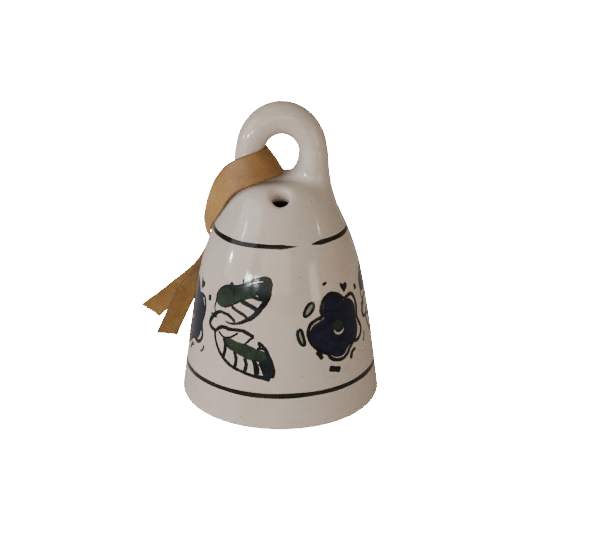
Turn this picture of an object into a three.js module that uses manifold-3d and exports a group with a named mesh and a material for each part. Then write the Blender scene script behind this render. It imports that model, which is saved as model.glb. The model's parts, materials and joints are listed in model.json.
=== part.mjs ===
// A small porcelain table bell: a glazed shell with a hanging loop on its crown, a clapper
// hung on a string from a clay bar inside the neck, and a ribbon folded through the loop.
// Millimetres, +Z up. The origin is the centre of the mouth, on the surface the rim stands on.
// The loop lies in the XZ plane, and the front of the bell faces -Y.

import * as THREE from 'three';
import { mergeVertices } from 'three/addons/utils/BufferGeometryUtils.js';
import { ParametricGeometry } from 'three/addons/geometries/ParametricGeometry.js';
import Module from 'manifold-3d';

const wasm = await Module();
wasm.setup();

// ---- Shell ----
const mouthRadius = 33.6; // outside, at the rim
const rimRound = 1.4; // rounding of the rim's outer edge
const crownHeight = 74.8; // flat top of the crown, under the loop
const crownRise = 4.8; // from the top of the neck up to the crown's flat top
const neckTopRadius = 16.4;
const neckLength = 11.7; // height of the straight cone under the crown
const neckLean = 0.479; // how far the neck draws in for each millimetre of height
const sideLean = 0.142; // the same, where the side leaves the rim
const lowerReach = 24; // height over which the side keeps its lean at the rim
const upperReach = 12; // height over which the side keeps the neck's lean
const crownReach = 3; // height over which the crown keeps the neck's lean
const crownFlat = 9.5; // radius where the crown's curve turns flat
const wall = 3.7;
const roofThickness = 6.6; // clay between the cavity's roof and the crown's flat top
const roofFlat = 9; // radius where the roof's curve turns flat
const roofDrop = 4; // the roof starts to close this far below the inside of the neck's top
const roofReach = 2.3; // height over which it keeps the neck's lean

// ---- Hanging loop ----
const eyeWidth = 10.8;
const eyeHeight = 13.2;
const loopSide = 9.3; // thickness of the loop at its sides, seen from the front
const loopTop = 10.3; // the same, at its top and bottom
const loopDepth = 10.4; // thickness front to back
const saddleRise = 1.7; // how far the loop's bottom stands above the crown
const legBottomRadius = 6.35; // half the width of a leg where it spreads on the neck

// ---- Slanting holes in the crown, one at the front and one at the back ----
const holeRadius = 2.8;
const holeSlope = THREE.MathUtils.degToRad(60); // below the horizontal, going in
const holeOut = 13.4; // where each hole's centre line passes, out from the bell's axis
const holeDrop = 3.1; // and how far that point is below the crown's flat top

// ---- Clapper ----
const gap = 0.3; // between pieces that touch
const barRadius = 1.5; // the clay bar across the neck, fired as one with the bell
const barDrop = 7.5; // from the cavity's roof down to the bar's centre
const stringRadius = 0.6;
const knotRadius = 1.7;
const loopDrop = 7.2; // from the bar's centre down to the knot's centre
const clapperDrop = 34.5; // from the knot's centre down to the ball's centre
const ballRadius = 6.5;
const ballBoreRadius = 1;
const endKnotRadius = 1.5;

// ---- Ribbon ----
const ribbonThickness = 0.4;
const ribbonSteps = 64;

const ribbonCrown = 74.8; // the crown height for which the ribbon's points are given
const ribbonHang = 50; // above this height the ribbon lies on the bell and moves with its crown

// The ribbon's two edges, point by point from the end of one tail, through the eye, to the
// end of the other: [upper or back edge], [lower or front edge]. Both edges stay 10 mm apart.
const ribbonEdges = [
  [[-53.5, 50.0, 8.0], [-47.3, 54.2, 1.4]],
  [[-45.8, 46.4, 15.4], [-42.2, 50.8, 7.2]],
  [[-37.1, 41.5, 24.1], [-32.6, 45.9, 16.4]],
  [[-30.3, 36.4, 32.3], [-25.0, 40.8, 25.1]],
  [[-25.6, 32.0, 42.6], [-20.2, 35.9, 35.2]],
  [[-24.0, 26.2, 50.8], [-18.3, 29.8, 43.4]],
  [[-21.8, 20.6, 59.6], [-15.9, 24.3, 52.5]],
  [[-19.2, 15.6, 67.8], [-13.8, 19.8, 60.6]],
  [[-16.0, 10.7, 75.0], [-11.6, 15.6, 67.6]],
  [[-12.6, 7.6, 80.6], [-8.0, 12.4, 73.2]],
  [[-9.3, 6.5, 83.7], [-3.9, 8.6, 75.6]],
  [[-6.6, 4.9, 84.7], [-0.8, 5.6, 76.7]],
  [[-5.2, 2.5, 85.2], [0.6, 2.8, 77.0]],
  [[-4.6, 0.0, 85.3], [1.1, 0.0, 77.1]],
  [[-5.2, -2.5, 85.2], [0.6, -2.8, 77.0]],
  [[-6.6, -4.9, 84.8], [-0.8, -5.8, 76.7]],
  [[-9.3, -6.2, 84.2], [-3.6, -7.8, 76.3]],
  [[-13.4, -5.9, 82.7], [-8.2, -9.5, 74.9]],
  [[-17.9, -3.4, 79.5], [-13.8, -9.6, 72.7]],
  [[-21.4, 0.2, 74.2], [-16.8, -7.0, 69.0]],
  [[-23.4, 3.0, 69.0], [-18.8, -5.2, 65.6]],
  [[-24.9, 6.2, 63.2], [-20.8, -2.7, 61.8]],
  [[-26.2, 10.0, 57.0], [-22.6, 0.6, 57.9]],
  [[-25.5, 15.6, 50.2], [-24.0, 6.6, 53.2]],
  [[-24.0, 22.3, 43.8], [-24.2, 13.2, 47.8]],
  [[-24.5, 29.5, 35.5], [-27.0, 20.8, 39.8]],
  [[-27.5, 34.0, 26.5], [-32.0, 26.6, 31.5]],
  [[-32.4, 37.2, 16.0], [-38.2, 31.5, 21.8]],
  [[-39.2, 38.4, 0.7], [-46.2, 32.2, 4.2]],
];

// ---- Worked out from the above ----
const neckTop = crownHeight - crownRise;
const neckBottom = neckTop - neckLength;
const neckBottomRadius = neckTopRadius + neckLean * neckLength;
const eyeBottom = crownHeight + saddleRise;
const loopCentre = eyeBottom + eyeHeight / 2;
const holeHeight = crownHeight - holeDrop;

const roofHeight = crownHeight - roofThickness;
const barHeight = roofHeight - barDrop;
const knotCentre = barHeight - loopDrop;
const ballCentre = knotCentre - clapperDrop;

const glaze = new THREE.MeshStandardMaterial({ color: 0xc8bfb3, roughness: 0.12 });
const cotton = new THREE.MeshStandardMaterial({ color: 0xd8d0bd, roughness: 0.9 });
const beadGlaze = new THREE.MeshStandardMaterial({ color: 0xd4ccc0, roughness: 0.15 });
const satin = new THREE.MeshStandardMaterial({ color: 0xa87a3a, roughness: 0.45 });

// Turns a closed geometry into a solid that can be joined and cut.
function toSolid(geometry) {
  const bare = geometry.clone();
  bare.deleteAttribute('normal');
  bare.deleteAttribute('uv');
  const merged = mergeVertices(bare, 1e-4);
  const vertProperties = new Float32Array(merged.attributes.position.array);
  const triVerts = new Uint32Array(merged.index.array);
  return new wasm.Manifold(new wasm.Mesh({ numProp: 3, vertProperties, triVerts }));
}

function toGeometry(solid) {
  const mesh = solid.getMesh();
  const geometry = new THREE.BufferGeometry();
  geometry.setAttribute('position', new THREE.BufferAttribute(mesh.vertProperties, 3));
  geometry.setIndex(new THREE.BufferAttribute(mesh.triVerts, 1));
  geometry.computeVertexNormals();
  return geometry;
}

// Revolves a profile of (radius, height) points about the Z axis.
function revolve(profile, segments) {
  return new THREE.LatheGeometry(profile, segments).rotateX(Math.PI / 2);
}

const point = (radius, height) => new THREE.Vector2(radius, height);

// The outside of the side: one curve from the rim to the foot of the neck.
function sideCurve() {
  const start = point(mouthRadius, rimRound);
  const end = point(neckBottomRadius, neckBottom);
  return new THREE.CubicBezierCurve(
    start,
    point(start.x - sideLean * lowerReach, start.y + lowerReach),
    point(end.x + neckLean * upperReach, end.y - upperReach),
    end,
  );
}

// The same points moved inwards, square to the curve, by the wall.
function insideOf(curve, steps) {
  return curve.getPoints(steps).map((p, i) => {
    const along = curve.getTangent(i / steps);
    return point(p.x - along.y * wall, p.y + along.x * wall);
  });
}

function outsideSolid() {
  const arc = new THREE.EllipseCurve(
    mouthRadius - rimRound, rimRound, rimRound, rimRound, -Math.PI / 2, 0,
  );
  const crown = new THREE.CubicBezierCurve(
    point(neckTopRadius, neckTop),
    point(neckTopRadius - neckLean * crownReach, neckTop + crownReach),
    point(crownFlat, crownHeight),
    point(0, crownHeight),
  );
  const profile = [
    point(0, 0),
    ...arc.getPoints(3),
    ...sideCurve().getPoints(12).slice(1),
    ...crown.getPoints(6),
  ];
  return toSolid(revolve(profile, 52));
}

function cavitySolid() {
  const side = insideOf(sideCurve(), 10);
  const shift = wall / Math.hypot(1, neckLean);
  const top = point(
    neckTopRadius - shift + neckLean * roofDrop,
    neckTop - shift * neckLean - roofDrop,
  );
  const roof = new THREE.CubicBezierCurve(
    top,
    point(top.x - neckLean * roofReach, top.y + roofReach),
    point(roofFlat, roofHeight),
    point(0, roofHeight),
  );
  const below = -1; // the cut starts below the mouth, so that it is open
  const profile = [
    point(0, below),
    point(side[0].x, below),
    ...side,
    ...roof.getPoints(5),
  ];
  return toSolid(revolve(profile, 44));
}

// The loop: an oval ring round the eye, its section an ellipse that is thicker at the top.
function loopSolid() {
  const surface = (u, v, target) => {
    const around = u * 2 * Math.PI;
    const across = -v * 2 * Math.PI;
    const half = THREE.MathUtils.lerp(loopSide, loopTop, Math.sin(around) ** 2) / 2;
    const reach = half * (1 + Math.cos(across));
    target.set(
      (eyeWidth / 2 + reach) * Math.cos(around),
      (loopDepth / 2) * Math.sin(across),
      loopCentre + (eyeHeight / 2 + reach) * Math.sin(around),
    );
  };
  return toSolid(new ParametricGeometry(surface, 36, 16));
}

// One leg: a tapered oval column from inside the neck up to the side of the loop.
function legSolid(side) {
  const topRadius = (loopSide / 2) * 0.99; // just inside the loop's own skin
  const height = loopCentre - neckTop;
  const column = new THREE.CylinderGeometry(topRadius, legBottomRadius, height, 20)
    .rotateX(Math.PI / 2)
    .scale(1, loopDepth / loopSide, 1)
    .translate((side * (eyeWidth + loopSide)) / 2, 0, neckTop + height / 2);
  return toSolid(column);
}

// A cutter for one slanting hole: side -1 is the front and +1 the back.
function holeSolid(side) {
  const length = 16;
  const cutter = new THREE.CylinderGeometry(holeRadius, holeRadius, length, 24)
    .rotateX(Math.PI / 2 - side * (Math.PI / 2 - holeSlope))
    .translate(0, side * holeOut, holeHeight);
  return toSolid(cutter);
}

// The bar the clapper hangs from, along X, with its ends inside the neck's wall.
function barSolid() {
  const lean = neckLean * (barHeight - neckBottom);
  const halfLength = neckBottomRadius - lean - wall / 2;
  const bar = new THREE.CylinderGeometry(barRadius, barRadius, 2 * halfLength, 18)
    .rotateZ(Math.PI / 2)
    .translate(0, 0, barHeight);
  return toSolid(bar);
}

function bellBody() {
  let solid = outsideSolid().add(loopSolid());
  for (const side of [-1, 1]) {
    solid = solid.add(legSolid(side));
  }
  solid = solid.subtract(cavitySolid()).add(barSolid());
  for (const side of [-1, 1]) {
    solid = solid.subtract(holeSolid(side));
  }
  return toGeometry(solid);
}

// The string's hairpin over the bar: two falls side by side, opened out round the bar.
function stringLoop() {
  const bend = barRadius + gap + stringRadius;
  const foot = stringRadius + gap / 2;
  const bottom = knotCentre + knotRadius + gap;
  const route = [];
  for (let i = 0; i <= 12; i += 1) {
    const angle = (Math.PI * i) / 12;
    route.push(new THREE.Vector3(
      0, -bend * Math.cos(angle), barHeight + bend * Math.sin(angle),
    ));
  }
  const low = new THREE.Vector3(0, foot, bottom);
  const mid = new THREE.Vector3(0, foot + 0.2, bottom + (barHeight - bottom) * 0.2);
  const mirror = (p) => new THREE.Vector3(p.x, -p.y, p.z);
  const path = new THREE.CatmullRomCurve3(
    [mirror(low), mirror(mid), ...route, mid, low], false, 'centripetal',
  );
  return tube(path, 30, stringRadius, 8);
}

// A round tube along a path.
function tube(path, steps, radius, sides) {
  const section = new THREE.Shape(
    new THREE.EllipseCurve(0, 0, radius, radius).getPoints(sides).slice(0, -1),
  );
  return new THREE.ExtrudeGeometry(section, { steps, extrudePath: path, bevelEnabled: false });
}

function knot(radius, flattening) {
  return new THREE.SphereGeometry(radius, 14, 10)
    .rotateX(Math.PI / 2)
    .scale(1, 1, flattening);
}

// A bead: a ball with a hole down its middle for the string.
function bead() {
  const start = Math.asin(ballBoreRadius / ballRadius);
  const steps = 14;
  const profile = [];
  for (let i = 0; i <= steps; i += 1) {
    const angle = start + ((Math.PI - 2 * start) * i) / steps;
    profile.push(point(ballRadius * Math.sin(angle), -ballRadius * Math.cos(angle)));
  }
  profile.push(profile[0].clone());
  return revolve(profile, 24);
}

// A flat strip between two edge curves, with a small thickness.
function ribbonStrip() {
  const rise = crownHeight - ribbonCrown;
  const edge = (which) => new THREE.CatmullRomCurve3(
    ribbonEdges.map((pair) => {
      const [x, y, z] = pair[which];
      return new THREE.Vector3(x, y, z + rise * Math.min(1, z / ribbonHang));
    }),
    false,
    'centripetal',
  );
  const upper = edge(0);
  const lower = edge(1);
  const rings = [];
  for (let i = 0; i <= ribbonSteps; i += 1) {
    const t = i / ribbonSteps;
    const a = upper.getPoint(t);
    const b = lower.getPoint(t);
    const along = upper.getTangent(t).add(lower.getTangent(t)).normalize();
    const out = new THREE.Vector3().subVectors(b, a).normalize().cross(along);
    out.normalize().multiplyScalar(ribbonThickness / 2);
    rings.push([
      a.clone().add(out), b.clone().add(out), b.clone().sub(out), a.clone().sub(out),
    ]);
  }
  const corners = rings.flat().flatMap((p) => [p.x, p.y, p.z]);
  const faces = [];
  const quad = (a, b, c, d) => faces.push(a, b, c, a, c, d);
  for (let i = 0; i < ribbonSteps; i += 1) {
    for (let k = 0; k < 4; k += 1) {
      const next = (k + 1) % 4;
      quad(4 * i + k, 4 * i + next, 4 * i + 4 + next, 4 * i + 4 + k);
    }
  }
  quad(3, 2, 1, 0);
  const last = 4 * ribbonSteps;
  quad(last, last + 1, last + 2, last + 3);
  const geometry = new THREE.BufferGeometry();
  geometry.setAttribute('position', new THREE.Float32BufferAttribute(corners, 3));
  geometry.setIndex(faces);
  geometry.computeVertexNormals();
  return geometry;
}

const group = new THREE.Group();

function place(name, geometry, material, height = 0) {
  const mesh = new THREE.Mesh(geometry, material);
  mesh.name = name;
  mesh.position.z = height;
  group.add(mesh);
}

const stringTop = -(knotRadius + gap);
const stringLength = clapperDrop + ballRadius + stringTop;
const string = new THREE.CylinderGeometry(stringRadius, stringRadius, stringLength, 10)
  .rotateX(Math.PI / 2);
const endKnotDrop = ballRadius + gap + endKnotRadius;

place('bell_body', bellBody(), glaze);
place('string_loop', stringLoop(), cotton);
place('string_knot', knot(knotRadius, 1), cotton, knotCentre);
place('clapper_string', string, cotton, knotCentre + stringTop - stringLength / 2);
place('clapper_ball', bead(), beadGlaze, ballCentre);
place('end_knot', knot(endKnotRadius, 1), cotton, ballCentre - endKnotDrop);
place('ribbon', ribbonStrip(), satin);

export default group;
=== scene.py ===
# Porcelain table bell: glazed shell with a hanging loop, hand-painted flowers and leaves,
# a bead clapper on a cotton string, and an ochre satin ribbon folded through the loop.
import json
import math

import bpy
import numpy as np
from mathutils import Matrix

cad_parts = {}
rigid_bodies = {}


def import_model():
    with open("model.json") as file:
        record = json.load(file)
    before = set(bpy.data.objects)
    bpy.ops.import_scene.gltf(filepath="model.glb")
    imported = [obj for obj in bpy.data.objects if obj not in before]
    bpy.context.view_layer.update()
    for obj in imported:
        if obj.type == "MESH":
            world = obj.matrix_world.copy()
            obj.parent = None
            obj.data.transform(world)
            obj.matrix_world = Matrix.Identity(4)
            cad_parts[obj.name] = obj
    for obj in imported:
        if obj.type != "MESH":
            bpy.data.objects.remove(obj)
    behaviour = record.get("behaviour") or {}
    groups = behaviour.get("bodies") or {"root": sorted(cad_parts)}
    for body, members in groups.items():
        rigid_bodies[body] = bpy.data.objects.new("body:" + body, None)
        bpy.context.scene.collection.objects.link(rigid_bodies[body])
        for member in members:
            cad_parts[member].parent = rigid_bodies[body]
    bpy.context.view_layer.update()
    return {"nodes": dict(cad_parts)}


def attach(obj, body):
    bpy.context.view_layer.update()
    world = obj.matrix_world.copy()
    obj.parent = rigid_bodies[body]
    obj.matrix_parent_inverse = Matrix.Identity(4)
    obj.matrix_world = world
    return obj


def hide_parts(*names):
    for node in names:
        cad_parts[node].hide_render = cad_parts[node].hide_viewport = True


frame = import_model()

mm = 0.001
rng = np.random.default_rng(12)


# camera
cameraView = {
    "lens": 70.9,
    "distance": 362.7 * mm,   # in front of the bell's axis
    "height": 186.3 * mm,
    "tilt": 20.81,            # degrees down
    "shift": (0.0254, -0.0292),
}

camData = bpy.data.cameras.new("camera")
camData.lens = cameraView["lens"]
camData.shift_x, camData.shift_y = cameraView["shift"]
camData.clip_start = 0.01
cam = bpy.data.objects.new("camera", camData)
cam.location = (0, -cameraView["distance"], cameraView["height"])
cam.rotation_euler = (math.radians(90 - cameraView["tilt"]), 0, 0)
bpy.context.collection.objects.link(cam)
bpy.context.scene.camera = cam
print("camera placed")


# helpers
def linear(r, g, b):
    # screen colour 0-255 to the shader's linear colour
    return tuple((c / 255 / 12.92 if c < 10.3 else ((c / 255 + 0.055) / 1.055) ** 2.4)
                 for c in (r, g, b)) + (1.0,)


def newObject(name, points, faces, material, body):
    # points in mm, faces as index lists
    mesh = bpy.data.meshes.new(name)
    mesh.from_pydata((np.asarray(points) * mm).tolist(), [], faces)
    mesh.polygons.foreach_set("use_smooth", [True] * len(mesh.polygons))
    mesh.materials.append(material)
    mesh.update()
    obj = bpy.data.objects.new(name, mesh)
    bpy.context.collection.objects.link(obj)
    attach(obj, body)
    return obj


def gridFaces(rows, cols, closeRows=False, closeCols=False):
    # quads of a rows x cols grid of points, joined round either way if asked
    faces = []
    for i in range(rows if closeRows else rows - 1):
        for j in range(cols if closeCols else cols - 1):
            a, b = i * cols + j, i * cols + (j + 1) % cols
            c, d = ((i + 1) % rows) * cols + (j + 1) % cols, ((i + 1) % rows) * cols + j
            faces.append([a, b, c, d])
    return faces


def smoothPath(points, perSpan=8, closed=False):
    # a curve through the points, leaving each one parallel to the line between its neighbours
    p = np.asarray(points, float)
    if closed:
        p = np.vstack([p[-1], p, p[0], p[1]])
    else:
        p = np.vstack([2 * p[0] - p[1], p, 2 * p[-1] - p[-2]])
    out = []
    for i in range(1, len(p) - 2):
        for t in np.linspace(0, 1, perSpan, endpoint=False):
            out.append(0.5 * (2 * p[i] + (p[i + 1] - p[i - 1]) * t
                              + (2 * p[i - 1] - 5 * p[i] + 4 * p[i + 1] - p[i + 2]) * t ** 2
                              + (3 * p[i] - p[i - 1] - 3 * p[i + 1] + p[i + 2]) * t ** 3))
    if not closed:
        out.append(p[-2])
    return np.array(out)


def evenly(path, step):
    # the same path, with its points a step apart
    run = np.concatenate([[0], np.cumsum(np.linalg.norm(np.diff(path, axis=0), axis=1))])
    marks = np.linspace(0, run[-1], max(3, int(run[-1] / step) + 1))
    return np.stack([np.interp(marks, run, path[:, k]) for k in range(path.shape[1])], 1)


def tubePoints(path, radius, sides=10):
    # rings square to the path, carried along without twisting
    path = np.asarray(path, float)
    along = np.gradient(path, axis=0)
    along /= np.linalg.norm(along, axis=1)[:, None]
    side = np.cross(along[0], [0.31, 0.52, 0.79])
    rings = []
    for p, a in zip(path, along):
        side = side - a * side.dot(a)
        side /= np.linalg.norm(side)
        up = np.cross(a, side)
        turn = np.linspace(0, 2 * np.pi, sides, endpoint=False)[:, None]
        rings.append(p + radius * (np.cos(turn) * side + np.sin(turn) * up))
    return np.array(rings)


def tube(path, radius, sides=10):
    # (points, faces) of a tube with closed ends
    rings = tubePoints(path, radius, sides)
    n = len(rings)
    points = rings.reshape(-1, 3)
    faces = gridFaces(n, sides, closeCols=True)
    faces.append(list(range(sides))[::-1])
    faces.append([(n - 1) * sides + k for k in range(sides)])
    return points, faces


def gather(parts):
    # several (points, faces) as one
    points, faces, start = [], [], 0
    for p, f in parts:
        points.append(p)
        faces += [[i + start for i in face] for face in f]
        start += len(p)
    return np.vstack(points), faces


def noiseNode(nodes, scale, detail, coords, links, rough=0.55):
    n = nodes.new("ShaderNodeTexNoise")
    n.inputs["Scale"].default_value = scale
    n.inputs["Detail"].default_value = detail
    n.inputs["Roughness"].default_value = rough
    links.new(coords, n.inputs["Vector"])
    return n


def ramp(nodes, links, source, stops):
    r = nodes.new("ShaderNodeValToRGB")
    e = r.color_ramp.elements
    e[0].position, e[0].color = stops[0]
    e[1].position, e[1].color = stops[-1]
    for pos, col in stops[1:-1]:
        e.new(pos).color = col
    links.new(source, r.inputs["Fac"])
    return r.outputs["Color"]


def newMaterial(name):
    mat = bpy.data.materials.new(name)
    mat.use_nodes = True
    nodes, links = mat.node_tree.nodes, mat.node_tree.links
    coords = nodes.new("ShaderNodeTexCoord").outputs["Object"]
    return mat, nodes, links, nodes["Principled BSDF"], coords


def addBump(nodes, links, bsdf, height, strength, distance):
    b = nodes.new("ShaderNodeBump")
    b.inputs["Strength"].default_value = strength
    b.inputs["Distance"].default_value = distance
    links.new(height, b.inputs["Height"])
    links.new(b.outputs["Normal"], bsdf.inputs["Normal"])


# the bell's shape, in mm
bell = {
    "rimRadius": 33.6, "rimTop": 1.4,
    "neckRadius": 22.0, "neckHeight": 58.3,   # where the straight neck starts
    "sideLean": 0.142, "neckLean": 0.479,
    "lowerReach": 24.0, "upperReach": 12.0,
    "crown": 74.8, "crownRound": 8.0,
    "wall": 3.7, "roof": 68.2, "roofRound": 9.0,
    "barHeight": 60.7, "barRadius": 1.5,      # clay bar across the neck
    "rimRound": 1.0,
}
loop = {
    "eyeWidth": 11.3, "eyeHeight": 13.0, "eyeBottom": 76.2,
    "side": 9.3, "top": 10.7, "depth": 10.4, "aside": 0.35,   # the loop sits a touch off centre
    "legFoot": 6.3, "legFootHeight": 70.0, "blend": 3.4,
}
hole = {"radius": 2.5, "slope": 60.0, "out": 13.4, "height": 72.0, "lip": 4.6}


def sideFit():
    # the side is one curve from the rim to the neck, then a straight cone; here as radius by height
    t = np.linspace(0, 1, 200)
    b = bell
    r = [b["rimRadius"], b["rimRadius"] - b["sideLean"] * b["lowerReach"],
         b["neckRadius"] + b["neckLean"] * b["upperReach"], b["neckRadius"]]
    h = [b["rimTop"], b["rimTop"] + b["lowerReach"], b["neckHeight"] - b["upperReach"],
         b["neckHeight"]]
    w = [(1 - t) ** 3, 3 * t * (1 - t) ** 2, 3 * t * t * (1 - t), t ** 3]
    height = sum(w[k] * h[k] for k in range(4))
    radius = sum(w[k] * r[k] for k in range(4))
    up = np.linspace(0.5, 19, 60)
    down = np.linspace(-4, -0.1, 12)
    height = np.concatenate([b["rimTop"] + down, height, b["neckHeight"] + up])
    radius = np.concatenate([b["rimRadius"] - b["sideLean"] * down, radius,
                             b["neckRadius"] - b["neckLean"] * up])
    return np.polynomial.Polynomial.fit(height, radius, 9)


sideRadius = sideFit()
sideSlope = sideRadius.deriv()


def smoothMin(a, b, k):
    # the smaller of two, rounded where they are within k of each other
    h = np.clip(k - np.abs(a - b), 0, None) / k
    return np.minimum(a, b) - h ** 3 * k / 6


def smoothMax(a, b, k):
    return -smoothMin(-a, -b, k)


def bellField(p):
    # below zero inside the clay, above zero outside, zero on the surface
    x, y, z = p[:, 0], p[:, 1], p[:, 2]
    r = np.hypot(x, y)
    zc = np.clip(z, -3, 77)
    side = (r - sideRadius(zc)) / np.sqrt(1 + sideSlope(zc) ** 2)
    shell = smoothMax(side, z - bell["crown"], bell["crownRound"])
    # the loop: an oval ring whose section is an oval, a little thicker at its top
    cz = loop["eyeBottom"] + loop["eyeHeight"] / 2
    aside = x - loop["aside"]
    turn = np.arctan2(z - cz, aside)
    half = (loop["side"] + (loop["top"] - loop["side"]) * np.sin(turn) ** 2) / 2
    ax = (loop["eyeWidth"] + loop["side"]) / 2
    az = (loop["eyeHeight"] + loop["top"]) / 2
    reach = np.hypot(aside, z - cz)
    line = 1 / np.sqrt((np.cos(turn) / ax) ** 2 + (np.sin(turn) / az) ** 2)
    ring = (np.hypot((reach - line) / half, y / (loop["depth"] / 2)) - 1) * half
    # its two legs: upright tapered oval columns
    up = (z - loop["legFootHeight"]) / (cz - loop["legFootHeight"])
    legRadius = loop["legFoot"] + (loop["side"] / 2 - 0.15 - loop["legFoot"]) * np.clip(up, -1, 1.1)
    leg = np.hypot(np.abs(aside) - ax, y * loop["side"] / loop["depth"]) - legRadius
    leg = smoothMax(leg, z - cz - 0.5, 2.0)
    clay = smoothMin(smoothMin(shell, leg, loop["blend"]), ring, 2.0)
    clay = smoothMax(clay, -z, bell["rimRound"])
    cavity = smoothMax(side + bell["wall"], z - bell["roof"], bell["roofRound"])
    clay = smoothMax(clay, -cavity, 1.2)
    bar = np.hypot(y, z - bell["barHeight"]) - bell["barRadius"] - 0.15
    bar = smoothMax(bar, side + bell["wall"] / 2, 0.5)
    clay = smoothMin(clay, bar, 1.6)
    # the slanting holes, front and back alike
    a = math.radians(hole["slope"])
    off = (np.abs(y) - hole["out"]) * math.sin(a) - (z - hole["height"]) * math.cos(a)
    bore = np.hypot(x, off) - hole["radius"]
    return smoothMax(clay, -bore, hole["lip"])


def fieldSlope(p, step=0.02):
    g = np.zeros_like(p)
    for k in range(3):
        d = np.zeros(3)
        d[k] = step
        g[:, k] = (bellField(p + d) - bellField(p - d)) / (2 * step)
    return g


def onSurface(p, rounds=5):
    # moves points along the field's slope until they are on the surface
    for _ in range(rounds):
        g = fieldSlope(p)
        p = p - (bellField(p) / np.maximum((g ** 2).sum(1), 0.05))[:, None] * g
    return p


# glaze
glazeLook = {
    "light": linear(205, 192, 177), "warm": linear(198, 181, 163), "cool": linear(202, 193, 181),
    "roughness": 0.09, "bareClay": linear(214, 205, 190),
}


def glazeMaterial():
    mat, nodes, links, bsdf, coords = newMaterial("glazed porcelain")
    cloud = noiseNode(nodes, 28, 2, coords, links)
    base = ramp(nodes, links, cloud.outputs["Fac"],
                [(0.3, glazeLook["warm"]), (0.5, glazeLook["light"]), (0.72, glazeLook["cool"])])
    # small iron specks in the clay
    speck = noiseNode(nodes, 900, 1, coords, links)
    dot = nodes.new("ShaderNodeMapRange")
    dot.inputs["From Min"].default_value = 0.76
    dot.inputs["From Max"].default_value = 0.82
    links.new(speck.outputs["Fac"], dot.inputs["Value"])
    mix = nodes.new("ShaderNodeMix")
    mix.data_type = "RGBA"
    links.new(dot.outputs["Result"], mix.inputs["Factor"])
    links.new(base, mix.inputs["A"])
    mix.inputs["B"].default_value = linear(150, 128, 104)
    # bare clay on the ring the bell stands on
    split = nodes.new("ShaderNodeSeparateXYZ")
    links.new(coords, split.inputs["Vector"])
    bare = nodes.new("ShaderNodeMapRange")
    bare.inputs["From Min"].default_value = 0.45 * mm
    bare.inputs["From Max"].default_value = 0.25 * mm
    links.new(split.outputs["Z"], bare.inputs["Value"])
    body = nodes.new("ShaderNodeMix")
    body.data_type = "RGBA"
    links.new(bare.outputs["Result"], body.inputs["Factor"])
    links.new(mix.outputs["Result"], body.inputs["A"])
    body.inputs["B"].default_value = glazeLook["bareClay"]
    links.new(body.outputs["Result"], bsdf.inputs["Base Color"])
    rough = nodes.new("ShaderNodeMapRange")
    rough.inputs["To Min"].default_value = glazeLook["roughness"]
    rough.inputs["To Max"].default_value = 0.75
    links.new(bare.outputs["Result"], rough.inputs["Value"])
    links.new(rough.outputs["Result"], bsdf.inputs["Roughness"])
    bsdf.inputs["Subsurface Weight"].default_value = 0.06
    bsdf.inputs["Subsurface Radius"].default_value = (1.0, 0.8, 0.6)
    bsdf.inputs["Subsurface Scale"].default_value = 1.2 * mm
    # the glaze pools in slow waves, with a fine orange peel over them
    slow = noiseNode(nodes, 85, 1, coords, links)
    fine = noiseNode(nodes, 700, 1, coords, links)
    blend = nodes.new("ShaderNodeMath")
    blend.operation = "MULTIPLY_ADD"
    blend.inputs[1].default_value = 0.04
    links.new(fine.outputs["Fac"], blend.inputs[0])
    links.new(slow.outputs["Fac"], blend.inputs[2])
    addBump(nodes, links, bsdf, blend.outputs["Value"], 0.35, 0.35 * mm)
    return mat


glaze = glazeMaterial()


def makeBellBody():
    # a close even net over the rough solid, then every point moved onto the true surface
    source = frame["nodes"]["bell_body"]
    rough = bpy.data.objects.new("rough", source.data.copy())
    bpy.context.collection.objects.link(rough)
    rough.matrix_world = Matrix.Identity(4)
    net = rough.modifiers.new("net", "REMESH")
    net.mode = "VOXEL"
    net.voxel_size = 0.6 * mm
    dg = bpy.context.evaluated_depsgraph_get()
    made = bpy.data.meshes.new_from_object(rough.evaluated_get(dg))
    bpy.data.objects.remove(rough)
    count = len(made.vertices)
    p = np.empty(count * 3)
    made.vertices.foreach_get("co", p)
    p = onSurface(p.reshape(-1, 3) / mm, 6)
    made.vertices.foreach_set("co", (p * mm).ravel())
    n = fieldSlope(p)
    n /= np.linalg.norm(n, axis=1)[:, None]
    made.polygons.foreach_set("use_smooth", [True] * len(made.polygons))
    made.materials.clear()
    made.materials.append(glaze)
    made.update()
    made.normals_split_custom_set_from_vertices(n.tolist())
    obj = bpy.data.objects.new("glazedBell", made)
    bpy.context.collection.objects.link(obj)
    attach(obj, "bell")
    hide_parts("bell_body")
    print("bell body:", len(made.polygons), "faces")
    return obj


bellBody = makeBellBody()


# painting
# how heavy the brush is; then in mm: how proud the paint stands, how deep its edges sink,
# and the step along a stroke
paint = {"weight": 1.4, "thick": 0.05, "sink": 0.008, "step": 0.22}


def wallPoint(azimuth, height, lift):
    # a point on the painted side: degrees round from the front, mm up, mm off the surface
    a = np.radians(azimuth)
    r, s = sideRadius(height), sideSlope(height)
    n = np.sqrt(1 + s * s)
    r, z = r + lift / n, height - lift * s / n
    return np.stack([r * np.sin(a), -r * np.cos(a), z], -1)


def motifPoint(uv, lift, place):
    # a motif is drawn flat in mm; at the height of its middle 1 mm is 2 degrees of turn
    u, v = uv[..., 0], uv[..., 1]
    c, s = math.cos(place["tilt"]), math.sin(place["tilt"])
    u, v = (u * c - v * s) * place["size"], (u * s + v * c) * place["size"]
    return wallPoint(place["azimuth"] + 2 * u, place["height"] + v, lift)


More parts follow.
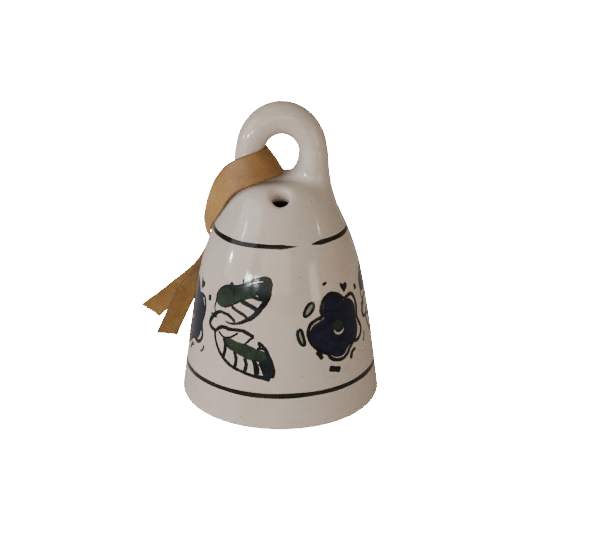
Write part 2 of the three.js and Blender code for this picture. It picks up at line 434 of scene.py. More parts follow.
# across a stroke from edge to edge, and how much of its thickness it has there
strokeCols = np.array([-1, -0.96, -0.9, -0.8, 0, 0.8, 0.9, 0.96, 1.0])
strokeRise = np.array([0, 0.7, 0.95, 1, 1, 1, 0.95, 0.7, 0])


def brushStroke(points, width, place, taper=(0.3, 0.3), thick=None, wobble=0.05):
    # a flat-topped line of paint; width and taper are what the brush leaves
    thick = paint["thick"] if thick is None else thick
    path = evenly(smoothPath(points), paint["step"])
    n = len(path)
    t = np.linspace(0, 1, n)
    along = np.gradient(path, axis=0)
    along /= np.linalg.norm(along, axis=1)[:, None] + 1e-9
    across = np.stack([-along[:, 1], along[:, 0]], 1)
    press = np.interp(t, np.linspace(0, 1, len(np.atleast_1d(width))), np.atleast_1d(width)) \
        if np.ndim(width) else np.full(n, float(width))
    run = t * n * paint["step"]
    slow = np.sin(run * 1.9 + rng.uniform(0, 6))
    quick = np.sin(run * 4.3 + rng.uniform(0, 6))
    wave = 1 + wobble * (slow + 0.6 * quick)
    length = n * paint["step"]
    ends = np.minimum(1, np.minimum((t * length + 0.05) / (taper[0] + 0.01),
                                    ((1 - t) * length + 0.05) / (taper[1] + 0.01)))
    half = paint["weight"] * press * wave * np.sqrt(np.clip(ends, 0, 1)) / 2
    uv = path[:, None, :] + across[:, None, :] * (half[:, None] * strokeCols)[:, :, None]
    lift = thick * strokeRise[None] + 0 * half[:, None] - paint["sink"]
    pts = motifPoint(uv, lift, place)
    return pts.reshape(-1, 3), [f[::-1] for f in gridFaces(n, len(strokeCols))]


def paintPatch(outline, place, thick=0.035, centre=None, closedSpan=6):
    # a flat patch of paint inside a closed outline
    edge = smoothPath(outline, closedSpan, closed=True)
    mid = np.array(centre if centre is not None else edge.mean(0), float)
    area = np.sum(edge[:, 0] * np.roll(edge[:, 1], -1) - np.roll(edge[:, 0], -1) * edge[:, 1])
    if area < 0:
        edge = edge[::-1]
    rings = np.array([0, 0.12, 0.24, 0.36, 0.48, 0.6, 0.72, 0.82, 0.9, 0.96, 1.0])
    uv = mid + (edge - mid)[None] * rings[1:, None, None]
    lift = np.interp(rings[1:], [0, 0.9, 0.96, 1.0], [thick, thick, thick * 0.8, -paint["sink"]])
    pts = motifPoint(uv, np.repeat(lift[:, None], len(edge), 1), place)
    top = motifPoint(mid[None], np.array([thick]), place)
    m = len(edge)
    faces = [[f + 1 for f in face][::-1] for face in gridFaces(len(rings) - 1, m, closeCols=True)]
    faces += [[0, 1 + k, 1 + (k + 1) % m] for k in range(m)]
    return np.vstack([top, pts.reshape(-1, 3)]), faces


# strokes in mm from the middle of the motif: points, then width
leafStrokes = [
    # upper leaf: left side and top edge, two ticks, then the heavy right edge
    ([(-10.1, 2.3), (-10.7, 3.9), (-10.4, 6.2), (-10.4, 8.0), (-9.6, 9.7), (-8.0, 11.2)], 0.45),
    ([(-8.0, 11.2), (-5.4, 12.2), (-2.1, 12.6), (0.4, 13.5), (2.4, 14.5), (4.8, 15.4), (7.2, 15.9)],
     (0.5, 0.5, 0.6, 0.7, 0.9)),
    ([(-4.4, 12.2), (-4.5, 13.4)], 1.0),
    ([(0.3, 13.2), (0.1, 15.2)], 0.6),
    ([(4.8, 15.2), (7.2, 15.9), (9.2, 15.7), (9.8, 14.6), (9.6, 12.8), (9.2, 10.5), (8.3, 8.6), (6.9, 6.7),
      (5.6, 5.0), (4.1, 3.5), (2.3, 2.4), (0.4, 1.3), (-1.6, 0.6), (-3.7, 0.3), (-5.4, 0.6)],
     (0.5, 1.0, 1.3, 1.5, 1.6, 1.6, 1.4, 1.3, 1.3, 1.2, 1.0, 0.8, 0.6, 0.5, 0.3)),
    # its veins
    ([(-6.9, 3.0), (-4.7, 2.9), (-2.8, 2.0), (-1.6, 1.1)], 0.8),
    ([(-3.5, 5.9), (-1.4, 4.9), (1.0, 4.1), (2.5, 3.2)], 0.8),
    ([(-0.4, 8.3), (1.7, 7.7), (3.9, 7.0), (6.0, 6.0)], 1.1),
    ([(3.5, 10.4), (5.7, 9.7), (8.4, 9.4)], 0.9),
    ([(-6.6, 4.8), (-4.4, 5.8), (-2.3, 7.0), (-0.2, 8.2), (2.1, 9.4), (4.5, 10.0)], 0.5),
    # stem
    ([(-6.6, 3.3), (-8.5, 2.8), (-10.3, 1.4), (-11.8, -0.5), (-12.0, -2.1), (-10.9, -3.2), (-8.4, -3.6)],
     (0.6, 0.9, 1.1, 1.1, 1.0, 0.9, 0.8)),
    ([(-12.1, 1.5), (-10.6, 0.9), (-9.1, 1.0)], 0.6),
    # lower leaf: broken top edge and its cells, then the right edge and the bottom edge
    ([(-8.7, -3.7), (-8.1, -2.6), (-6.0, -1.5), (-3.5, -1.6), (-1.0, -1.3), (1.5, -1.2), (3.5, -1.9),
      (5.2, -2.6)],
     (0.8, 0.9, 1.0, 0.9, 0.8, 0.9, 1.0, 0.8)),
    ([(5.2, -2.6), (4.1, -3.4), (3.0, -4.6), (1.8, -5.6)], (0.7, 0.6, 0.5, 0.3)),
    ([(-7.7, -3.3), (-6.4, -4.3), (-5.1, -4.7), (-3.1, -4.2), (-1.5, -3.2), (-0.2, -2.1)], 0.5),
    ([(6.5, -4.1), (7.7, -4.9), (9.0, -6.4), (9.9, -8.5), (10.7, -10.7), (11.2, -13.2), (11.0, -15.6)],
     (0.7, 0.8, 0.9, 1.0, 1.1, 1.2, 1.1)),
    ([(6.6, -4.2), (7.1, -5.6), (6.3, -6.5)], 0.6),
    ([(6.4, -6.4), (7.7, -6.1), (9.0, -6.5)], 0.6),
    ([(-9.2, -3.6), (-9.2, -4.4), (-8.7, -6.3), (-7.3, -8.9), (-5.5, -11.0), (-3.2, -12.7), (-1.1, -13.7),
      (1.3, -14.3), (3.9, -15.0), (6.3, -15.4), (8.5, -15.6), (10.6, -16.0)],
     (0.7, 0.7, 0.7, 0.8, 0.9, 0.9, 0.8, 0.8, 0.8, 0.9, 1.1, 1.2)),
    ([(-5.4, -4.9), (-4.6, -6.6), (-4.5, -8.6), (-4.9, -11.2)], 0.9),
    ([(-1.1, -8.4), (-0.3, -10.7), (-0.6, -13.6)], 0.85),
    ([(2.5, -9.8), (3.1, -11.9), (2.7, -14.3)], 0.85),
    ([(5.3, -10.0), (6.2, -12.1), (6.5, -14.8)], (1.0, 1.3, 1.3)),
    ([(7.3, -10.6), (8.7, -12.8), (9.6, -15.0)], (1.0, 1.5, 1.6)),
]
leafGreens = [
    [(-6.8, 4.7), (-8.9, 4.8), (-10.2, 5.7), (-10.4, 7.5), (-10.0, 9.2), (-8.0, 11.1), (-5.3, 12.1),
     (-2.1, 12.5),
     (0.9, 13.4), (3.3, 14.0), (5.2, 14.3), (6.0, 12.6), (5.6, 10.9), (4.5, 10.2), (2.1, 9.6), (-0.2, 8.4),
     (-2.3, 7.2), (-4.4, 6.0)],
    [(-5.3, -4.9), (-2.8, -4.4), (-0.3, -5.0), (2.5, -5.1), (4.6, -5.7), (6.5, -6.5), (8.8, -7.1),
     (9.6, -9.3),
     (9.5, -10.7), (8.2, -10.9), (6.1, -10.4), (3.7, -10.2), (1.1, -9.4), (-1.3, -8.6), (-3.6, -7.8),
     (-4.7, -6.4)],
]
leafDarks = [
    [(4.6, 14.2), (6.5, 14.8), (9.5, 15.2), (9.6, 12.8), (8.6, 10.4), (7.2, 9.6), (5.6, 10.6), (4.6, 11.4),
     (5.4, 12.6)],
    [(7.6, -9.9), (9.8, -9.2), (11.0, -12.1), (11.1, -14.8), (9.9, -15.6), (8.9, -14.6), (9.5, -12.9),
     (8.4, -11.2)],
]
petalEdge = [
    (4.1, 7.6), (2.4, 9.2), (0.6, 10.2), (-1.4, 10.7), (-3.2, 10.3), (-4.7, 9.1), (-5.6, 7.5), (-5.9, 5.8),
    (-5.6, 4.2), (-7.7, 3.5), (-9.6, 2.4), (-10.6, 0.7), (-10.7, -1.4), (-10.0, -3.4), (-8.9, -5.0),
    (-7.5, -6.3), (-6.0, -7.4), (-4.5, -8.2), (-3.8, -9.6), (-2.2, -10.8), (-0.2, -11.3), (1.6, -11.1),
    (3.1, -10.1), (4.4, -8.7), (6.1, -7.4), (8.8, -7.5), (10.7, -6.3), (11.5, -4.3), (10.5, -1.9),
    (9.8, 0.2), (10.3, 2.7), (10.2, 5.1), (9.5, 7.0), (8.2, 8.2), (6.3, 8.1),
]
petalFill = [
    (3.9, 7.4), (2.3, 9.0), (0.5, 10.1), (-1.3, 10.5), (-3.0, 10.1), (-4.4, 8.9), (-5.4, 7.3), (-5.6, 5.7),
    (-5.1, 3.8), (-6.6, 3.1), (-8.9, 1.9), (-10.1, 0.3), (-10.3, -1.5), (-9.8, -3.3), (-8.8, -4.8),
    (-7.4, -6.1), (-5.9, -7.2), (-4.2, -8.0), (-3.4, -9.1), (-1.9, -10.1), (0.1, -10.5), (1.7, -10.1),
    (2.9, -9.0), (4.2, -8.0), (6.0, -7.0), (7.9, -6.8), (9.0, -5.2), (9.5, -3.4), (9.4, -1.4), (9.2, 0.6),
    (9.6, 2.7), (9.2, 4.8), (7.4, 6.8), (5.8, 7.4),
]
# dashes round the flower: points and width; the hollow ones are a loop with a thin wash inside
hollowDashes = [
    [(-8.7, 9.2), (-8.3, 8.4), (-8.6, 7.1), (-9.8, 5.7), (-11.2, 5.0), (-11.8, 5.6), (-11.3, 7.2),
     (-10.1, 8.6)],
    [(-13.8, 1.0), (-13.0, 0.8), (-12.5, -0.8), (-12.0, -3.2), (-12.2, -4.1), (-13.0, -3.8), (-13.8, -2.3),
     (-14.2, -0.3)],
]
solidDashes = [
    ([(-8.4, -6.9), (-7.4, -7.8), (-6.6, -9.6)], (1.0, 1.2, 1.0)),
    ([(-4.4, -13.2), (-2.5, -13.9), (-0.4, -14.6)], 1.4),
    ([(7.0, -9.9), (5.2, -10.5), (4.3, -12.6)], (0.7, 0.9, 0.9)),
    ([(13.3, -6.6), (13.1, -8.2), (11.9, -9.6)], 0.5), ([(11.4, 10.4), (11.8, 8.5)], 1.2),
    ([(-4.3, 13.9), (-2.6, 14.5)], 0.7),
]
heartDash = [(3.1, 12.7), (3.9, 12.9), (4.7, 12.3), (5.7, 12.6), (6.7, 12.2), (6.6, 11.0), (5.7, 10.2),
             (4.7, 9.6), (4.1, 10.4), (3.4, 11.4)]

motifs = [
    {"kind": "flower", "azimuth": 39, "height": 32, "size": 1.0, "tilt": 0.0},
    {"kind": "leaf", "azimuth": 91.5, "height": 33.5, "size": 1.0, "tilt": 0.03},
    {"kind": "flower", "azimuth": 153, "height": 31.5, "size": 0.97, "tilt": 0.12},
    {"kind": "leaf", "azimuth": 215, "height": 32.5, "size": 0.98, "tilt": -0.06},
    {"kind": "flower", "azimuth": 280, "height": 30.6, "size": 1.0, "tilt": -0.1, "spill": 1.07},
    {"kind": "leaf", "azimuth": 333, "height": 33, "size": 1.0, "tilt": 0.0},
]


def paintMaterial(name, dark, light, streak, roughness=0.12):
    mat, nodes, links, bsdf, coords = newMaterial(name)
    stretch = nodes.new("ShaderNodeMapping")
    stretch.inputs["Scale"].default_value = (1, 1, streak)
    links.new(coords, stretch.inputs["Vector"])
    wash = noiseNode(nodes, 210, 4, stretch.outputs["Vector"], links, 0.6)
    links.new(ramp(nodes, links, wash.outputs["Fac"], [(0.36, dark), (0.66, light)]),
     bsdf.inputs["Base Color"])
    bsdf.inputs["Roughness"].default_value = roughness
    fine = noiseNode(nodes, 900, 2, coords, links)
    bsdf.inputs["Specular IOR Level"].default_value = 0.22
    addBump(nodes, links, bsdf, fine.outputs["Fac"], 0.15, 0.05 * mm)
    return mat


inkPaint = paintMaterial("outline paint", linear(8, 9, 10), linear(24, 27, 28), 1.0)
navyPaint = paintMaterial("flower paint", linear(8, 9, 26), linear(22, 25, 52), 2.5)
greenPaint = paintMaterial("leaf paint", linear(14, 26, 18), linear(46, 62, 42), 0.35)
deepPaint = paintMaterial("leaf shade paint", linear(8, 14, 18), linear(26, 36, 48), 0.6)
palePaint = paintMaterial("pale grey", linear(150, 148, 138), linear(190, 186, 176), 1.0)
washPaint = paintMaterial("thin wash", linear(104, 110, 98), linear(138, 140, 128), 1.0)
bandPaint = paintMaterial("band paint", linear(16, 15, 12), linear(38, 35, 28), 6.0)


def paintBell():
    ink, navy, green, deep, pale, wash = [], [], [], [], [], []
    for m in motifs:
        if m["kind"] == "leaf":
            ink += [brushStroke(p, w, m) for p, w in leafStrokes]
            green += [paintPatch(o, m) for o in leafGreens]
            deep += [paintPatch(o, m, 0.045) for o in leafDarks]
        else:
            ink.append(brushStroke(petalEdge + petalEdge[:1], 0.9, m, (0.0, 0.0)))
            navy.append(paintPatch([(x * m.get("spill", 1), y * m.get("spill", 1)) for x, y in petalFill], m,
                                   0.035, (0.4, -0.6)))
            turn = np.linspace(0, 2 * np.pi, 12, endpoint=False)
            heart = [(0.1 + 2.1 * math.cos(a), 0.2 + 1.6 * math.sin(a)) for a in turn]
            green.append(paintPatch(heart, m, 0.05))
            pale.append(brushStroke([(-1.6, -1.0), (-0.9, -2.2), (0.6, -2.7), (2.0, -2.1), (2.4, -1.4)],
                                    (0.2, 0.5, 0.6, 0.5, 0.2), m, thick=0.08))
            for ring in hollowDashes:
                wash.append(paintPatch(ring, m, 0.03))
                ink.append(brushStroke(ring + ring[:1], 0.75, m, (0.0, 0.0)))
            ink += [brushStroke(p, w, m) for p, w in solidDashes]
            ink.append(paintPatch(heartDash, m, 0.05))
    for name, parts, mat in (("paintedOutlines", ink, inkPaint), ("flowerPetals", navy, navyPaint),
                             ("leafGreens", green, greenPaint), ("leafShades", deep, deepPaint),
                             ("paleCrescents", pale, palePaint), ("dashWashes", wash, washPaint)):
        points, faces = gather(parts)
        newObject(name, points, faces, mat, "bell")
        print(name, len(faces), "faces")


paintBell()

bands = {
    "lower": {"height": 11.4, "width": 1.6, "start": 0, "turn": 360},
    "upper": {"height": 58.45, "width": 1.45, "start": 27.0, "turn": 347.5},
}


def paintBand(name, b):
    # a brushed line round the bell; an open one thins out at both ends
    closed = b["turn"] == 360
    n = 420
    turn = np.linspace(0, b["turn"], n, endpoint=not closed)
    drift = 0.12 * np.sin(np.radians(turn) * 2 + 1) + 0.05 * np.sin(np.radians(turn) * 7)
    swell = 1 + 0.08 * np.sin(np.radians(turn) * 5 + 2) + 0.05 * np.sin(np.radians(turn) * 13)
    half = b["width"] / 2 * swell
    fade = np.ones(n)
    if not closed:
        fade = np.clip(np.minimum(0.25 + turn / 12, (b["turn"] - turn) / 14), 0.02, 1)
    height = b["height"] + drift[:, None] + (half * fade)[:, None] * strokeCols
    lift = paint["thick"] * strokeRise[None] + 0 * turn[:, None] - paint["sink"]
    pts = wallPoint(b["start"] + turn[:, None] + 0 * strokeCols, height, lift)
    faces = [f[::-1] for f in gridFaces(n, len(strokeCols), closeRows=closed)]
    newObject(name, pts.reshape(-1, 3), faces, bandPaint, "bell")


paintBand("lowerBand", bands["lower"])
paintBand("upperBand", bands["upper"])
print("bands painted")


# ribbon
ribbon = {"width": 10.0, "thick": 0.32, "step": 0.7, "cup": 0.25, "eyeAt": 112.0}
# its two edges in mm, from the end of one tail, through the eye, to the end of the other
ribbonEdges = [
    ((-53.5, 50.0, 8.0), (-47.3, 54.2, 1.4)), ((-45.8, 46.4, 15.4), (-42.2, 50.8, 7.2)),
    ((-37.1, 41.5, 24.1), (-32.6, 45.9, 16.4)), ((-30.3, 36.4, 32.3), (-25.0, 40.8, 25.1)),
    ((-25.6, 32.0, 42.6), (-20.2, 35.9, 35.2)), ((-24.0, 26.2, 50.8), (-18.3, 29.8, 43.4)),
    ((-21.8, 20.6, 59.6), (-15.9, 24.3, 52.5)), ((-19.2, 15.6, 67.8), (-13.8, 19.8, 60.6)),
    ((-16.0, 10.7, 75.0), (-11.6, 15.6, 67.6)), ((-12.6, 7.6, 80.6), (-8.0, 12.4, 73.2)),
    ((-9.3, 6.5, 83.7), (-3.9, 8.6, 75.6)), ((-6.6, 4.9, 84.7), (-0.8, 5.6, 76.7)),
    ((-5.2, 2.5, 85.2), (0.6, 2.8, 77.0)), ((-4.6, 0.0, 85.3), (1.1, 0.0, 77.1)),
    ((-5.2, -2.5, 85.2), (0.6, -2.8, 77.0)), ((-6.6, -4.9, 84.8), (-0.8, -5.8, 76.7)),
    ((-9.3, -6.2, 84.2), (-3.6, -7.8, 76.3)), ((-13.4, -5.9, 82.7), (-8.2, -9.5, 74.9)),
    ((-17.9, -3.4, 79.5), (-13.8, -9.6, 72.7)), ((-21.4, 0.2, 74.2), (-16.8, -7.0, 69.0)),
    ((-23.4, 3.0, 69.0), (-18.8, -5.2, 65.6)), ((-24.9, 6.2, 63.2), (-20.8, -2.7, 61.8)),
    ((-26.2, 10.0, 57.0), (-22.6, 0.6, 57.9)), ((-25.5, 15.6, 50.2), (-24.0, 6.6, 53.2)),
    ((-24.0, 22.3, 43.8), (-24.2, 13.2, 47.8)), ((-24.5, 29.5, 35.5), (-27.0, 20.8, 39.8)),
    ((-27.5, 34.0, 26.5), (-32.0, 26.6, 31.5)), ((-32.4, 37.2, 16.0), (-38.2, 31.5, 21.8)),
    ((-39.2, 38.4, 0.7), (-46.2, 32.2, 4.2)),
]


def ribbonMaterial():
    mat, nodes, links, bsdf, coords = newMaterial("ochre satin")
    uv = nodes.new("ShaderNodeUVMap")
    uv.uv_map = "cut"
    split = nodes.new("ShaderNodeSeparateXYZ")
    links.new(uv.outputs["UV"], split.inputs["Vector"])
    # long threads that show as faint lines along the ribbon
    stretch = nodes.new("ShaderNodeMapping")
    stretch.inputs["Scale"].default_value = (9.0, 0.25, 1)
    links.new(uv.outputs["UV"], stretch.inputs["Vector"])
    thread = noiseNode(nodes, 1.0, 3, stretch.outputs["Vector"], links)
    blotch = noiseNode(nodes, 95, 3, coords, links)
    tone = nodes.new("ShaderNodeMath")
    tone.operation = "MULTIPLY_ADD"
    tone.inputs[1].default_value = 0.55
    links.new(thread.outputs["Fac"], tone.inputs[0])
    half = nodes.new("ShaderNodeMath")
    half.operation = "MULTIPLY"
    half.inputs[1].default_value = 0.45
    links.new(blotch.outputs["Fac"], half.inputs[0])
    links.new(half.outputs["Value"], tone.inputs[2])
    colour = ramp(nodes, links, tone.outputs["Value"],
                  [(0.32, linear(142, 98, 40)), (0.5, linear(168, 125, 62)), (0.68, linear(186, 148, 86))])
    # painted shade: the ribbon is darker where it passes through the eye, where the loop shades it
    bend = nodes.new("ShaderNodeMath")
    bend.operation = "SUBTRACT"
    bend.inputs[1].default_value = ribbon["eyeAt"]
    links.new(split.outputs["Y"], bend.inputs[0])
    fromEye = nodes.new("ShaderNodeMath")
    fromEye.operation = "ABSOLUTE"
    links.new(bend.outputs["Value"], fromEye.inputs[0])
    # how much painted shade: full within 10 mm of the eye, none from 30 mm on
    eyeShade = nodes.new("ShaderNodeMapRange")
    eyeShade.inputs["From Min"].default_value = 10.0
    eyeShade.inputs["From Max"].default_value = 30.0
    eyeShade.inputs["To Min"].default_value = 0.6
    eyeShade.inputs["To Max"].default_value = 0.0
    links.new(fromEye.outputs["Value"], eyeShade.inputs["Value"])
    darker = nodes.new("ShaderNodeMix")
    darker.data_type = "RGBA"
    links.new(eyeShade.outputs["Result"], darker.inputs["Factor"])
    links.new(colour, darker.inputs["A"])
    darker.inputs["B"].default_value = linear(112, 72, 32)
    colour = darker.outputs["Result"]
    # darker along both edges: distance from the middle of the width, 5 mm at the edge
    mid = nodes.new("ShaderNodeMath")
    mid.operation = "SUBTRACT"
    mid.inputs[1].default_value = ribbon["width"] / 2
    links.new(split.outputs["X"], mid.inputs[0])
    away = nodes.new("ShaderNodeMath")
    away.operation = "ABSOLUTE"
    links.new(mid.outputs["Value"], away.inputs[0])
    edge = nodes.new("ShaderNodeMapRange")
    edge.inputs["From Min"].default_value = 4.35
    edge.inputs["From Max"].default_value = 4.75
    links.new(away.outputs["Value"], edge.inputs["Value"])
    mix = nodes.new("ShaderNodeMix")
    mix.data_type = "RGBA"
    links.new(edge.outputs["Result"], mix.inputs["Factor"])
    links.new(colour, mix.inputs["A"])
    mix.inputs["B"].default_value = linear(124, 88, 44)
    links.new(mix.outputs["Result"], bsdf.inputs["Base Color"])
    bsdf.inputs["Roughness"].default_value = 0.48
    bsdf.inputs["Sheen Weight"].default_value = 0.12
    bsdf.inputs["Sheen Roughness"].default_value = 0.4
    bsdf.inputs["Specular IOR Level"].default_value = 0.45
    # cross threads
    wave = nodes.new("ShaderNodeTexWave")
    wave.bands_direction = "Y"
    wave.inputs["Scale"].default_value = 1.1
    wave.inputs["Distortion"].default_value = 0.6
    links.new(uv.outputs["UV"], wave.inputs["Vector"])
    both = nodes.new("ShaderNodeMath")
    both.operation = "ADD"
    links.new(wave.outputs["Fac"], both.inputs[0])
    links.new(thread.outputs["Fac"], both.inputs[1])
    addBump(nodes, links, bsdf, both.outputs["Value"], 0.35, 0.06 * mm)
    return mat


def makeRibbon():
    mat = ribbonMaterial()
    edges = np.array(ribbonEdges, float).reshape(len(ribbonEdges), 6)
    path = evenly(smoothPath(edges, 10), ribbon["step"] * 1.41)
    a, b = path[:, :3], path[:, 3:]
    middle = (a + b) / 2
    across = b - a
    across /= np.linalg.norm(across, axis=1)[:, None]
    along = np.gradient(middle, axis=0)
    along -= across * (along * across).sum(1)[:, None]
    along /= np.linalg.norm(along, axis=1)[:, None]
    out = np.cross(across, along)
    n = len(path)
    cols = 15
    w = np.linspace(-1, 1, cols)
    run = np.concatenate([[0], np.cumsum(np.linalg.norm(np.diff(middle, axis=0), axis=1))])
    # a slow ripple along each edge, and a slight cup across the width
    ripple = 0.12 * np.sin(run[:, None] * 0.35 + w * 2.0) * w ** 2
    cup = ribbon["cup"] * (w ** 2 - 0.33)
    base = middle[:, None] + across[:, None] * (w * ribbon["width"] / 2)[None, :, None] \
        + out[:, None] * (ripple + cup)[:, :, None]
    half = out[:, None] * ribbon["thick"] / 2
    section = np.concatenate([base + half, (base - half)[:, ::-1]], 1)
    m = 2 * cols
    points = section.reshape(-1, 3)
    faces = gridFaces(n, m, closeCols=True)
    faces += [[k, k + 1, m - 2 - k, m - 1 - k][::-1] for k in range(cols - 1)]
    last = (n - 1) * m
    faces += [[last + k, last + k + 1, last + m - 2 - k, last + m - 1 - k] for k in range(cols - 1)]
    obj = newObject("satinRibbon", points, faces, mat, "bell")
    mesh = obj.data
    uvLayer = mesh.uv_layers.new(name="cut")
    u = np.concatenate([(w + 1) / 2 * ribbon["width"], ((w + 1) / 2 * ribbon["width"])[::-1]])
    index = np.empty(len(mesh.loops), int)
    mesh.loops.foreach_get("vertex_index", index)
    flat = np.stack([u[index % m], run[index // m]], 1)
    uvLayer.data.foreach_set("uv", flat.ravel())
    print("ribbon", round(run[-1], 1), "mm long")
    return obj, base, run[-1]


ribbonObj, ribbonGrid, ribbonLength = makeRibbon()


def frayMaterial():
    mat, nodes, links, bsdf, coords = newMaterial("loose satin thread")
    tone = noiseNode(nodes, 1500, 2, coords, links)
    links.new(ramp(nodes, links, tone.outputs["Fac"], [(0.35, linear(150, 116, 70)),
     (0.65, linear(206, 182, 140))]),
              bsdf.inputs["Base Color"])
    bsdf.inputs["Roughness"].default_value = 0.6
    return mat


def frayedEnds():
    # loose warp threads past each cut end, longest at one corner
    parts = []
    for end, beyond in ((0, 2), (-1, -3)):
        edge, inner = ribbonGrid[end], ribbonGrid[beyond]
        for k in range(54):
            t = rng.uniform(0, 1)
            at = t * (len(edge) - 1)
            i = min(int(at), len(edge) - 2)
            p = edge[i] + (edge[i + 1] - edge[i]) * (at - i)
            q = inner[i] + (inner[i + 1] - inner[i]) * (at - i)
            d = (p - q) / np.linalg.norm(p - q)
            corner = 1 - t if end == 0 else t
            length = rng.uniform(0.25, 0.8) + 4.2 * max(0, corner - 0.8) / 0.2 * rng.uniform(0.3, 1)
            bend = rng.normal(0, 0.22, 3)
            s = np.linspace(0, 1, 6)[:, None]
            path = p - d * 0.3 + d * s * (length + 0.3) + bend * s ** 2 * length
            path[:, 2] = np.maximum(path[:, 2], 0.12)
            parts.append(tube(path, 0.075, 5))
    points, faces = gather(parts)
    return newObject("looseThreads", points, faces, frayMaterial(), "bell")


looseThreads = frayedEnds()
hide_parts("ribbon")


# string and clapper
clapper = {
    "knotHeight": 53.5, "ballHeight": 19.0, "ballRadius": 6.5, "bore": 1.0,
    "stringRadius": 0.6, "endKnotHeight": 10.7,
}


def cottonMaterial():
    mat, nodes, links, bsdf, coords = newMaterial("twisted cotton")
    fibre = noiseNode(nodes, 2200, 4, coords, links)
    links.new(ramp(nodes, links, fibre.outputs["Fac"], [(0.3, linear(182, 170, 142)),
     (0.7, linear(226, 218, 198))]),
              bsdf.inputs["Base Color"])
    bsdf.inputs["Roughness"].default_value = 0.9
    bsdf.inputs["Sheen Weight"].default_value = 0.3
    addBump(nodes, links, bsdf, fibre.outputs["Fac"], 0.6, 0.05 * mm)
    return mat


cotton = cottonMaterial()


def twisted(path, radius, pitch=3.2):
    # three plies wound round the path
    path = evenly(np.asarray(path, float), 0.28)
    along = np.gradient(path, axis=0)
    along /= np.linalg.norm(along, axis=1)[:, None]
    run = np.concatenate([[0], np.cumsum(np.linalg.norm(np.diff(path, axis=0), axis=1))])
    side = np.cross(along[0], [0.2, 0.9, 0.35])
    frames = []
    for a in along:
        side = side - a * side.dot(a)
        side /= np.linalg.norm(side)
        frames.append((side.copy(), np.cross(a, side)))
    plies = []
    for k in range(3):
        turn = run / pitch * 2 * np.pi + k * 2 * np.pi / 3
        ply = np.array([p + radius * 0.5 * (math.cos(t) * s + math.sin(t) * u)
                        for p, t, (s, u) in zip(path, turn, frames)])
        plies.append(tube(ply, radius * 0.54, 8))
    return gather(plies)


def overhand(size, centre, radius):
    # a tight overhand knot: three lobes that pass over and under each other
    t = np.linspace(0, 2 * np.pi, 90, endpoint=False)
    shape = np.stack([(np.sin(t) + 2 * np.sin(2 * t)) / 3, (np.cos(t) - 2 * np.cos(2 * t)) / 3,
                      -np.sin(3 * t) * 0.75], 1)
    path = np.vstack([shape, shape[:2]]) * size + centre
    return twisted(path, radius, 2.6)


def makeHanging():
    c = clapper
    # string over the bar: a hairpin that closes on the knot
    bend = bell["barRadius"] + c["stringRadius"] + 0.3
    arc = [(0, -bend * math.cos(a),
     bell["barHeight"] + bend * math.sin(a)) for a in np.linspace(0, np.pi, 13)]
    foot = c["knotHeight"] + 0.9
    left = [(0, -0.62, foot), (0, -0.95, foot + 1.4)]
    hairpin = smoothPath(left + arc + [(p[0], -p[1], p[2]) for p in left[::-1]], 6)
    points, faces = twisted(hairpin, c["stringRadius"])
    over = newObject("stringOverBar", points, faces, cotton, "bell")
    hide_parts("string_loop")
    points, faces = overhand(1.35, np.array([0, 0, c["knotHeight"]]), 0.55)
    knot = newObject("upperKnot", points, faces, cotton, "knot")
    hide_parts("string_knot")
    # straight fall through the bead
    top, low = c["knotHeight"] - 2.0, c["endKnotHeight"] + 0.4
    fall = np.array([(0, 0, z) for z in np.linspace(top, low, 60)])
    points, faces = twisted(fall, c["stringRadius"])
    string = newObject("clapperString", points, faces, cotton, "clapper")
    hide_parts("clapper_string")
    # bead: a ball with a hole down its middle, rounded into it
    start = math.asin(c["bore"] / c["ballRadius"])
    lip = np.linspace(start * 1.25, np.pi - start * 1.25, 46)
    prof = [(c["ballRadius"] * math.sin(a), -c["ballRadius"] * math.cos(a)) for a in lip]
    prof += [(c["bore"] * 1.02, z) for z in np.linspace(c["ballRadius"] * 0.94, -c["ballRadius"] * 0.94, 12)]
    prof = np.array(prof)
    sides = 72
    turn = np.linspace(0, 2 * np.pi, sides, endpoint=False)[:, None]
    wave = 1 + 0.004 * np.sin(turn * 3)
    pts = np.stack([prof[:, 0] * np.cos(turn) * wave, prof[:, 0] * np.sin(turn) * wave,
                    prof[:, 1] + c["ballHeight"] + 0 * turn], -1)
    faces = gridFaces(sides, len(prof), closeRows=True, closeCols=True)
    faces = [f[::-1] for f in faces]
    ball = newObject("clapperBead", pts.reshape(-1, 3), faces, glaze, "clapper")
    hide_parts("clapper_ball")
    points, faces = overhand(1.2, np.array([0, 0, c["endKnotHeight"]]), 0.52)
    tail = tube(evenly(smoothPath([(0.2, 0, c["endKnotHeight"] - 0.8), (0.5, 0.1, c["endKnotHeight"] - 2.2),
                                   (1.1, -0.1, c["endKnotHeight"] - 3.4)]), 0.3), 0.5, 8)
    points, faces = gather([(points, faces), tail])
    stop = newObject("stopperKnot", points, faces, cotton, "clapper")
    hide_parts("end_knot")


makeHanging()
print("clapper hung")


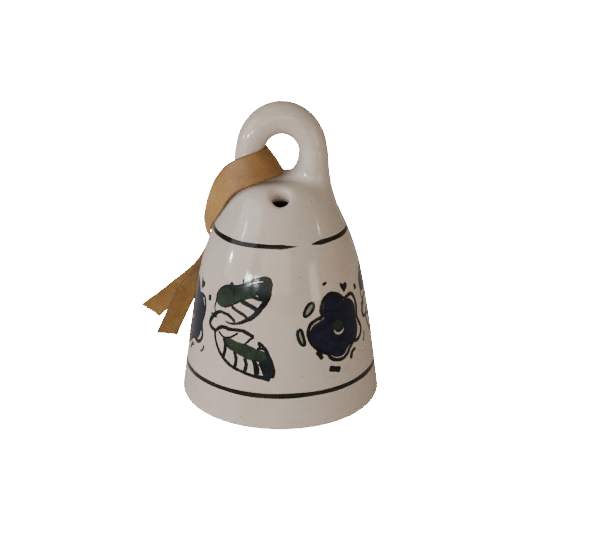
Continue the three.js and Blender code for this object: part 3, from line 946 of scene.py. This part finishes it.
# floor and light
studio = {
    "world": (linear(200, 187, 174), 0.40),
    "white": 60.0,   # how bright the table and what is behind it look to the camera
    # name: (size x, size y in m, place, colour, watts)
    "lights": {
        "window left pane": (0.20, 0.085, (-0.93, -0.90, 0.205), linear(236, 246, 255), 3.2),
        "window right pane": (0.15, 0.085, (-0.72, -1.06, 0.215), linear(236, 246, 255), 2.2),
        "left sky": (1.1, 0.9, (-1.15, -0.50, 0.50), linear(246, 248, 255), 8.4),
        "front room": (1.0, 0.5, (-0.15, -1.2, 0.36), linear(255, 245, 234), 3.6),
        "right room": (0.26, 0.42, (0.88, -0.80, 0.14), linear(255, 240, 226), 1.5),
        "right glow": (0.8, 0.8, (1.0, -0.3, 0.4), linear(255, 214, 180), 0.7),
        "lamp left": (0.05, 0.05, (-1.12, -0.18, 0.235), linear(255, 255, 255), 1.5),
        "strip left": (0.03, 0.06, (-1.05, -0.38, 0.52), linear(240, 248, 255), 0.3),
        "lamp right": (0.03, 0.02, (1.10, -0.27, 0.50), linear(255, 255, 255), 0.14),
    },
}


def addLight(name, sizeX, sizeY, place, colour, watts):
    data = bpy.data.lights.new(name, "AREA")
    data.shape = "RECTANGLE"
    data.size, data.size_y = sizeX, sizeY
    data.color = colour[:3]
    data.energy = watts
    obj = bpy.data.objects.new(name, data)
    obj.location = place
    aim = np.array([0, 0, 0.05]) - np.array(place)
    yaw = math.atan2(aim[1], aim[0]) - math.pi / 2
    pitch = math.atan2(math.hypot(aim[0], aim[1]), -aim[2])
    obj.rotation_euler = (pitch, 0, yaw)
    bpy.context.collection.objects.link(obj)


for lightName, values in studio["lights"].items():
    addLight(lightName, *values)


def makeWorld():
    # soft grey light all round; behind the table the camera sees plain white
    world = bpy.data.worlds.new("studio")
    world.use_nodes = True
    nodes, links = world.node_tree.nodes, world.node_tree.links
    room = nodes["Background"]
    room.inputs["Color"].default_value, room.inputs["Strength"].default_value = studio["world"]
    white = nodes.new("ShaderNodeBackground")
    white.inputs["Strength"].default_value = studio["white"]
    path = nodes.new("ShaderNodeLightPath")
    mix = nodes.new("ShaderNodeMixShader")
    links.new(path.outputs["Is Camera Ray"], mix.inputs["Fac"])
    links.new(room.outputs["Background"], mix.inputs[1])
    links.new(white.outputs["Background"], mix.inputs[2])
    links.new(mix.outputs["Shader"], nodes["World Output"].inputs["Surface"])
    bpy.context.scene.world = world


makeWorld()


def makeFloor():
    # pale table; it glows white to the camera alone, and lights the bell like plain paper
    mat, nodes, links, bsdf, coords = newMaterial("white table")
    bsdf.inputs["Base Color"].default_value = linear(242, 238, 230)
    bsdf.inputs["Roughness"].default_value = 0.9
    glow = nodes.new("ShaderNodeEmission")
    glow.inputs["Strength"].default_value = studio["white"]
    path = nodes.new("ShaderNodeLightPath")
    mix = nodes.new("ShaderNodeMixShader")
    links.new(path.outputs["Is Camera Ray"], mix.inputs["Fac"])
    links.new(bsdf.outputs["BSDF"], mix.inputs[1])
    links.new(glow.outputs["Emission"], mix.inputs[2])
    links.new(mix.outputs["Shader"], nodes["Material Output"].inputs["Surface"])
    mesh = bpy.data.meshes.new("table")
    s = 2.5
    mesh.from_pydata([(-s, -s, 0), (s, -s, 0), (s, s, 0), (-s, s, 0)], [], [(0, 1, 2, 3)])
    mesh.materials.append(mat)
    obj = bpy.data.objects.new("table", mesh)
    obj.location.z = -0.0001
    bpy.context.collection.objects.link(obj)


makeFloor()

print("scene ready")
